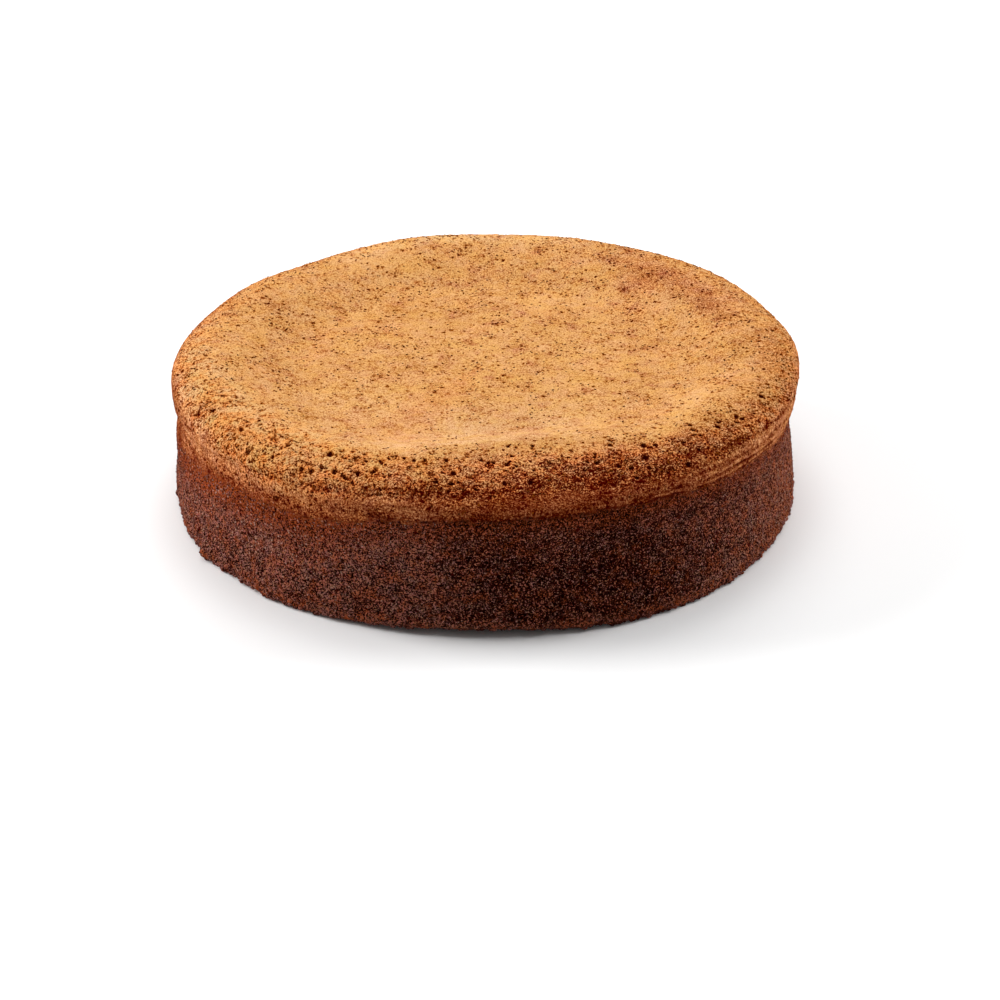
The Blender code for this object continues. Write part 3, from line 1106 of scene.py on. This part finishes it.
bakedLook = {
    "rustColour": (0.32, 0.060, 0.012),         # grains of the crumb that are baked red
    "glintColour": (0.50, 0.290, 0.220),        # painted highlight: pale glints on its grains
    "crumbPit": (0.045, 0.0010, 0.0003),        # its holes, painted nearly black as painted shade
    "pitColour": (0.026, 0.0012, 0.0004),       # holes and cracks in the crust, painted nearly black as painted shade
    "ringTint": (0.88, 0.62, 0.42),             # round each of them
    "haloTint": (0.97, 0.86, 0.80),             # round the seeds under the skin
    "pinkTint": (0.88, 0.74, 0.88),             # where these seeds lie thick
    "ochreTint": (1.0, 1.0, 0.82),              # yellower patches of the floor
    "coolTint": (1.02, 1.11, 1.27),             # calm floor and pale rims
    "bandTint": (1.0, 0.84, 0.78),              # red of the band at the left
    "redTint": (1.0, 0.62, 0.50),               # red of the crumb there
    "yellowTint": (1.0, 0.95, 0.74),            # crumb at the right
    "grainTints": ((1.04, 0.91, 1.15), (1.0, 1.08, 0.62)),
    # redder and paler patches of floor, rim and crumb
    "floorTints": ((1.00, 1.02, 0.90), (1.00, 0.985, 1.05)),
    "rimTints": ((1.08, 0.89, 0.68), (1.00, 1.035, 1.04)),
    "crumbTints": ((1.14, 0.92, 0.76), (0.94, 1.03, 1.05)),
    "grain": 0.60,              # mm, fine grain of the crust
    "mottle": 1.3,              # mm, brown and golden flecks of the rim
    "blotch": 3.4,              # mm, larger patches of the rim
    "crumbGrain": 0.42,         # mm, fine grain of the dark crumb
    # cell (mm), share of the cells, radius (mm) of the holes in the rim
    "pits": ((2.9, 0.34, 0.64), (2.0, 0.45, 0.48), (1.1, 0.55, 0.34)),
    # the same for the crumb, with how many more where it is lit and paler, before the radius
    "crumbHoles": ((2.6, 0.18, 0.12, 0.60), (1.3, 0.04, 0.38, 0.42)),
    # cell (mm), share of the cells, how dark the seeds under the skin are
    "specks": ((2.6, 0.32, 0.50), (1.9, 0.40, 0.66), (1.1, 0.46, 0.55), (0.55, 0.44, 0.45)),
    # cracks: angle, radius (mm) of both ends, half width (mm)
    "cracks": ((-139.3, 106.4, -129.1, 104.9, 0.42), (-125.5, 113.0, -119.5, 112.0, 0.55),
               (-137.0, 103.0, -134.0, 107.5, 0.35), (-147.0, 109.0, -143.0, 106.5, 0.35)),
}


def newMaterial(name, roughness):
    material = bpy.data.materials.new(name)
    material.use_nodes = True
    tree = Tree(material.node_tree)
    shader = material.node_tree.nodes["Principled BSDF"]
    shader.inputs["Roughness"].default_value = roughness
    shader.inputs["Specular IOR Level"].default_value = 0.0
    place = tree.scaled(tree.add("ShaderNodeTexCoord")["Object"], 1000.0)     # in mm
    return material, tree, shader, place


def readAttribute(tree, name):
    settings = {"attribute_type": "GEOMETRY", "attribute_name": name}
    return tree.add("ShaderNodeAttribute", settings)["Fac"]


def readAttributes(tree, *names):
    return [readAttribute(tree, name) for name in names]


def ramp(tree, stops, value):
    return tree.add("ShaderNodeValToRGB", {"stops": stops}, {"Fac": value})["Color"]


def holes(tree, place, cellSize, share, radius):
    # uneven holes in a share of the cells: 1 in the middle, and a wider ring round each
    spots = tree.cells(place, 1.0 / cellSize)
    luck = tree.part(spots["Color"], "X")
    size = (0.5 + tree.part(spots["Color"], "Y")) * (radius / cellSize)
    chosen = tree.step(luck, 1.0 - share, 1.02 - share)
    hole = chosen * tree.step(spots["Distance"], size * 0.6, size * 1.05, 1.0, 0.0)
    ring = chosen * tree.step(spots["Distance"], size, size * 1.9, 1.0, 0.0)
    return hole, ring


def onTop(angle, radius):
    return Vector((math.cos(math.radians(angle)), math.sin(math.radians(angle)), 0.0)) * radius


def crack(tree, place, angle, radius, endAngle, endRadius, halfWidth):
    # a dark line between two points of the top
    start = onTop(angle, radius)
    end = onTop(endAngle, endRadius)
    way = end - start
    flat = tree.vector("SUBTRACT", tree.vector("MULTIPLY", place, (1.0, 1.0, 0.0)), tuple(start))
    along = tree.vector("DOT_PRODUCT", flat, tuple(way), output="Value") / way.length_squared
    along = tree.maths("MINIMUM", tree.most(along, 0.0), 1.0)
    off = tree.vector("SUBTRACT", flat, tree.scaled(tuple(way), along))
    away = tree.vector("LENGTH", off, output="Value")
    return tree.step(away, halfWidth * 0.5, halfWidth * 1.5, 1.0, 0.0)


def huePatches(tree, place):
    # where the colour is redder (0) or paler (1), in patches of a few mm
    return tree.step(tree.noise(place, 0.20, detail=1.5), 0.36, 0.64)


def rustPatches(tree, place):
    # where grains of the crumb may be baked red
    return tree.step(tree.noise(place, 0.22), 0.50, 0.66)


def crustColour(tree, place, bent):
    # a brown level with mottling and grain, seeds under the skin, holes and cracks
    look = bakedLook
    level, rough, warm, calm, cool, red = readAttributes(
        tree, "level", "rough", "warm", "calm", "cool", "red")
    hollow, seam, streak, groove, fold, pore = readAttributes(
        tree, "hollow", "seam", "streak", "groove", "ridge", "pore")
    broad = tree.noise(place, 0.03, detail=3.0, roughness=0.55) - 0.5
    patches = tree.noise(place, 0.13, detail=3.0, roughness=0.6) - 0.5
    blotch = tree.noise(place, 1.0 / look["blotch"], roughness=0.55) - 0.5
    mottle = tree.noise(place, 1.0 / look["mottle"], roughness=0.65) - 0.5
    grain = tree.noise(place, 1.0 / look["grain"], detail=1.0, roughness=0.7) - 0.5
    lines = tree.noise(place, 0.6, detail=3.0, roughness=0.65, stretch=(0.10, 0.10, 1.0)) - 0.5
    mixed = level + broad * 0.30 + patches * (0.36 + 0.20 * rough) + blotch * (0.15 + 0.22 * rough)
    mixed = mixed + mottle * (0.32 + 0.36 * rough) + grain * (1.30 + 2.60 * rough) + lines * streak * 0.6
    # painted shade: darker in the pits, pores and grooves, and in patches along the creases of the front;
    # painted highlight: paler on the fine ridges
    mixed = mixed + hollow * 0.30 + seam * tree.step(mottle, -0.06, 0.08) * 0.42 + groove * 0.7 - fold * 0.35
    # painted light: the calm floor before the front rim a little paler
    mixed = mixed - calm * 0.06

    shift = tree.noise(place, 1.0, detail=1.0, output="Color")
    strewn = tree.vector("ADD", place, tree.scaled(shift, 1.2))
    cluster = tree.noise(place, 0.13, detail=3.0, roughness=0.65)
    near = tree.step(cluster, 0.52, 0.68)
    halo = 0.0
    for cellSize, share, strength in look["specks"]:
        spots = tree.cells(strewn, 1.0 / cellSize)
        amount = share * (0.45 + 1.0 * near) * (0.85 + 0.5 * rough)
        chosen = tree.step(tree.part(spots["Color"], "X"), 1.0 - amount, 1.03 - amount)
        speck = chosen * tree.step(spots["Distance"], 0.16, 0.44, 1.0, 0.0) * (1.0 - 0.5 * calm)
        mixed = mixed + speck * strength * (0.35 + tree.part(spots["Color"], "Y") * 1.2)
        halo = tree.most(chosen * tree.step(spots["Distance"], 0.30, 0.75, 1.0, 0.0), halo)

    pit = tree.step(pore, 0.22, 0.62)
    rings = tree.step(pore, 0.0, 0.25)
    packed = tree.step(tree.noise(place, 0.17), 0.36, 0.62, 0.25, 1.3)
    for cellSize, share, radius in look["pits"]:
        amount = share * packed * tree.step(rough, 0.15, 1.0) + seam * 0.30
        hole, ring = holes(tree, bent, cellSize, amount, radius)
        pit = tree.most(hole, pit)
        rings = tree.most(ring, rings)
    for ends in look["cracks"]:
        pit = tree.most(crack(tree, bent, *ends) * tree.step(mottle, -0.14, 0.0), pit)

    # painted shade: the holes and cracks darker
    mixed = mixed + pit * 0.56
    orange = tree.step(tree.noise(place, 0.055, detail=3.0, roughness=0.6), 0.50, 0.72)
    warm = warm + (blotch * 1.6 + patches) * rough + orange * 0.35
    golden = tree.mix(warm, ramp(tree, floorStops, mixed), ramp(tree, rimStops, mixed))
    ochre = tree.step(tree.noise(place, 0.10), 0.48, 0.62)
    golden = tree.tinted(golden, look["ochreTint"], ochre * 0.65 * (1.0 - calm))
    smudge = near * tree.step(tree.noise(place, 0.28), 0.44, 0.62)
    smudge = smudge * (1.0 - rough) * (1.0 - 0.7 * calm)
    golden = tree.tinted(golden, look["pinkTint"], smudge)
    golden = tree.tinted(golden, look["haloTint"], halo * 0.6)
    golden = tree.tinted(golden, look["ringTint"], rings)
    patch = huePatches(tree, place)
    tints = (tree.mix(patch, *look["floorTints"]), tree.mix(patch, *look["rimTints"]))
    golden = tree.tinted(golden, tree.mix(rough * 1.3, *tints))
    golden = tree.tinted(golden, look["coolTint"], cool)
    golden = tree.tinted(golden, look["bandTint"], red * 0.9)
    golden = tree.mix(pit * 0.35, golden, look["pitColour"])
    return golden, mottle * (0.4 + rough) + grain * 0.8 - pit * 1.5


def crumbColour(tree, place, bent):
    # grains of uneven tone with holes between
    look = bakedLook
    red, pale, hollow, foot, yellow = readAttributes(tree, "red", "pale", "hollow", "foot", "yellow")
    fine = tree.noise(place, 0.7 / look["crumbGrain"], detail=1.0, roughness=0.75) - 0.5
    grains = tree.cells(bent, 1.0 / look["crumbGrain"])
    tone = tree.part(grains["Color"], "X") - 0.5
    gap = tree.step(grains["Distance"], 0.30, 0.62)
    clumps = tree.noise(place, 0.25, detail=3.0, roughness=0.6) - 0.5
    wide = tree.noise(place, 0.045) - 0.5
    layers = tree.noise(place, 0.28, stretch=(0.18, 0.18, 1.0)) - 0.5
    # lit: where the sides are paler, partly the crumb's own tone, partly painted light; there the grains
    # also get more contrast
    lit = tree.most(pale, 0.0)
    lively = 1.0 + 0.60 * foot + 0.50 * lit
    shade = 0.545 + (tone * 1.3 + fine * 4.0) * lively + clumps * (0.6 + 0.4 * lit) + pale * 0.26
    # darker where the relief between the grains lies deep: painted shade
    shade = shade + wide * 0.6 + layers * 0.4 - gap * 0.16 - hollow * 0.10 + foot * 0.08
    brown = ramp(tree, crumbStops, shade)
    tint = tree.mix(tree.part(grains["Color"], "Y"), *look["grainTints"])
    brown = tree.tinted(brown, tint, 0.8)
    tint = tree.mix(huePatches(tree, place), *look["crumbTints"])
    brown = tree.tinted(brown, tint)
    rusty = rustPatches(tree, place) * (0.5 + 0.15 * pale)
    rusty = tree.most(rusty + foot * 0.45, red) * tree.step(fine, -0.06, 0.10)
    brown = tree.tinted(brown, look["redTint"], tree.most(red, pale * 0.32))
    brown = tree.tinted(brown, look["yellowTint"], yellow)
    brown = tree.mix(rusty * 0.85, brown, look["rustColour"])
    # painted highlights: small pale spots for glints on the grains, more where the sides are lit
    glint = tree.cells(place, 1.0 / 1.3)
    shine = tree.step(glint["Distance"], 0.12, 0.24 + 0.16 * lit, 1.0, 0.0)
    shine = shine * tree.step(tree.part(glint["Color"], "X"), 0.86 - 0.22 * lit, 0.88 - 0.22 * lit)
    brown = tree.mix(shine * (0.5 + 0.2 * lit), brown, look["glintColour"])
    hole = 0.0
    for cellSize, share, more, radius in look["crumbHoles"]:
        found, ring = holes(tree, bent, cellSize, share + more * lit, radius)
        hole = tree.most(found, hole)
    # painted shade: the holes drawn nearly black
    brown = tree.mix(hole * 0.9, brown, look["crumbPit"])
    return brown, tone * 0.7 + fine * 1.6 - hole * 1.2


def bakedMaterial(name):
    material, tree, shader, place = newMaterial(name, 0.8)
    bent = tree.vector("ADD", place, tree.scaled(tree.noise(place, 1.2, output="Color"), 0.8))
    dark = readAttribute(tree, "dark")
    ragged = (tree.noise(place, 0.8, detail=3.0, roughness=0.7) - 0.5) * dark * (1.0 - dark) * 7.0
    dark = tree.step(dark + ragged, 0.25, 0.75)
    golden, goldenHeight = crustColour(tree, place, bent)
    brown, brownHeight = crumbColour(tree, place, bent)
    tree.feed(shader.inputs["Base Color"], tree.mix(dark, golden, brown))
    height = goldenHeight * (1.0 - dark) + brownHeight * dark
    bump = tree.add("ShaderNodeBump", {}, {"Strength": 0.7, "Distance": 0.0005, "Height": height})["Normal"]
    tree.feed(shader.inputs["Normal"], bump)
    return material


bakedSurface = bakedMaterial("bakedSurface")
relief = reliefTree(bakedSurface)
for piece in (crust, crumb):
    applyTree(piece, relief, reliefInputs)
    print("relief on", piece.name)


# seeds in the crust, and grains that stand out of the crumb

seedInputs = {
    "Density": 0.24,         # for each square mm where the mask is 1
    "Length": 1.0,           # mm
    "Thickness": 0.66,
    "Uneven": 0.35,
    "Sunk": 0.10,            # mm below the surface
    "Seed": 11,
}

grainInputs = {
    "Density": 0.24,
    "Length": 0.80,
    "Thickness": 0.62,
    "Uneven": 0.5,
    "Sunk": 0.05,
    "Seed": 23,
}

footInputs = {
    "Density": 0.5,
    "Length": 1.9,
    "Thickness": 1.4,
    "Uneven": 0.5,
    "Sunk": 0.15,
    "Seed": 31,
}


def scatterTree(name, inputs, maskName, material, ragged, fineness):
    # small grains, each turned and scaled by chance, where a mask of the surface says
    tree = geometryTree(name, inputs)
    source = tree.add("NodeGroupInput")
    seed = source["Seed"]
    settings = {"distribute_method": "RANDOM", "use_legacy_normal": False}
    density = source["Density"] * 1000000.0 * readMask(tree, maskName)        # for each square metre
    values = {"Mesh": source["Geometry"], "Density": density, "Seed": seed}
    spread = tree.add("GeometryNodeDistributePointsOnFaces", settings, values)
    values = {"Radius": 0.0005, "Subdivisions": fineness}                     # 1 mm across
    grain = tree.add("GeometryNodeMeshIcoSphere", {}, values)["Mesh"]

    def chance(low, high, shift):
        values = {"Min": low, "Max": high, "Seed": seed + shift}
        return tree.add("FunctionNodeRandomValue", {"data_type": "FLOAT"}, values)["Value"]

    size = chance(1.0 - source["Uneven"], 1.0 + source["Uneven"], 1)
    longWay = source["Length"] * size
    thick = source["Thickness"] * size
    scale = tree.add("ShaderNodeCombineXYZ", {}, {"X": longWay, "Y": thick, "Z": thick})["Vector"]
    tilt, turn = 0.4, 6.283                                                   # radians
    values = {"X": chance(-tilt, tilt, 2), "Y": chance(-tilt, tilt, 3), "Z": chance(0.0, turn, 4)}
    spin = tree.add("ShaderNodeCombineXYZ", {}, values)["Vector"]
    values = {"Rotation": spread["Rotation"], "Rotate By": spin}
    turned = tree.add("FunctionNodeRotateRotation", {"rotation_space": "LOCAL"}, values)["Rotation"]
    sunk = tree.scaled(spread["Normal"], source["Sunk"] * -0.001)
    points = shifted(tree, spread["Points"], sunk)
    values = {"Points": points, "Instance": grain, "Rotation": turned, "Scale": scale}
    grains = tree.add("GeometryNodeInstanceOnPoints", {}, values)["Instances"]
    grains = keepMask(tree, grains, "tone", chance(0.0, 1.0, 5), domain="INSTANCE")
    real = tree.add("GeometryNodeRealizeInstances", {}, {"Geometry": grains})["Geometry"]
    place = tree.scaled(tree.add("GeometryNodeInputPosition")["Position"], 1000.0)
    wobble = tree.vector("SUBTRACT", tree.noise(place, 1.1, output="Color"), (0.5, 0.5, 0.5))
    endTree(tree, shifted(tree, real, tree.scaled(wobble, ragged * 0.001)), material)
    return tree


seedStops = (
    (0.00, (0.34, 0.100, 0.012)),
    (0.35, (0.18, 0.038, 0.002)),
    (0.70, (0.08, 0.012, 0.001)),
    (1.00, (0.025, 0.003, 0.001)),
)


def seedMaterial():
    material, tree, shader, place = newMaterial("poppySeed", 0.55)
    tone = readAttribute(tree, "tone")
    shade = 0.30 + 0.62 * tone + (tree.noise(place, 2.5) - 0.5) * 0.5
    tree.feed(shader.inputs["Base Color"], ramp(tree, seedStops, shade))
    return material


def grainMaterial():
    material, tree, shader, place = newMaterial("crumbGrain", 0.7)
    tone = readAttribute(tree, "tone")
    # paler grains where the sides are lit: partly their own tone, partly painted light
    shade = 0.34 + 0.36 * tone + 0.2 * readAttribute(tree, "pale")
    shade = shade + (tree.noise(place, 2.2, detail=1.0, roughness=0.7) - 0.5) * 2.8
    shade = shade + readAttribute(tree, "foot") * 0.10
    brown = ramp(tree, crumbStops, shade)
    rusty = rustPatches(tree, place) * tree.step(tone, 0.70, 0.80)
    tree.feed(shader.inputs["Base Color"], tree.mix(rusty * 0.75, brown, bakedLook["rustColour"]))
    return material


def scatter(name, base, inputs, maskName, material, ragged, fineness=1):
    piece = bpy.data.objects.new(name, base.data.copy())
    bpy.context.scene.collection.objects.link(piece)
    applyTree(piece, scatterTree(name + "Scatter", inputs, maskName, material, ragged, fineness), inputs)
    print(name, len(piece.data.polygons), "faces")
    return piece


def readLayer(mesh, label):
    values = np.empty(len(mesh.vertices))
    mesh.attributes[label].data.foreach_get("value", values)
    return values


def addScatterMasks():
    # seeds lie thicker in clusters and on the rim
    points = readPoints(crust.data) * 1000.0
    r = np.hypot(points[:, 0], points[:, 1])
    angle = np.degrees(np.arctan2(points[:, 1], points[:, 0]))
    cluster = smooth(-0.1, 0.45, lumps(points, 11.0, 33.0) + 0.5 * lumps(points, 4.0, 71.0))
    rim = smooth(-8.0, 10.0, r - lipLine(angle))
    shown = readLayer(crust.data, "shown")
    dark = readLayer(crust.data, "dark")
    seeds = (0.15 + 0.85 * cluster) * (0.6 + 0.4 * rim) * (1.0 - 0.45 * readLayer(crust.data, "band"))
    seeds = seeds * (1.0 - 0.7 * readLayer(crust.data, "calm"))
    addLayer(crust.data, "seedMask", seeds * shown * (1.0 - dark))

    points = readPoints(crumb.data) * 1000.0
    angle = np.degrees(np.arctan2(points[:, 1], points[:, 0]))
    z = points[:, 2]
    shown = readLayer(crumb.data, "shown") * (1.0 - smooth(0.0, 1.0, z - darkLine(angle)))
    addLayer(crumb.data, "grainMask", shown)
    patchy = smooth(-0.35, 0.35, lumps(points, 6.0, 13.0))
    low = shown * (1.0 - smooth(1.0, 5.0, z)) * smooth(0.1, 0.6, z)
    addLayer(crumb.data, "footMask", low * (0.2 + 0.8 * patchy))


addScatterMasks()
seedPiece = scatter("poppySeeds", crust, seedInputs, "seedMask", seedMaterial(), 0.15)
grainPaint = grainMaterial()
grainPiece = scatter("crumbGrains", crumb, grainInputs, "grainMask", grainPaint, 0.35)
footPiece = scatter("footCrumbs", crumb, footInputs, "footMask", grainPaint, 0.8, fineness=2)

for piece in (crust, crumb, seedPiece, grainPiece, footPiece):
    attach(piece, "root")
    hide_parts("cake")
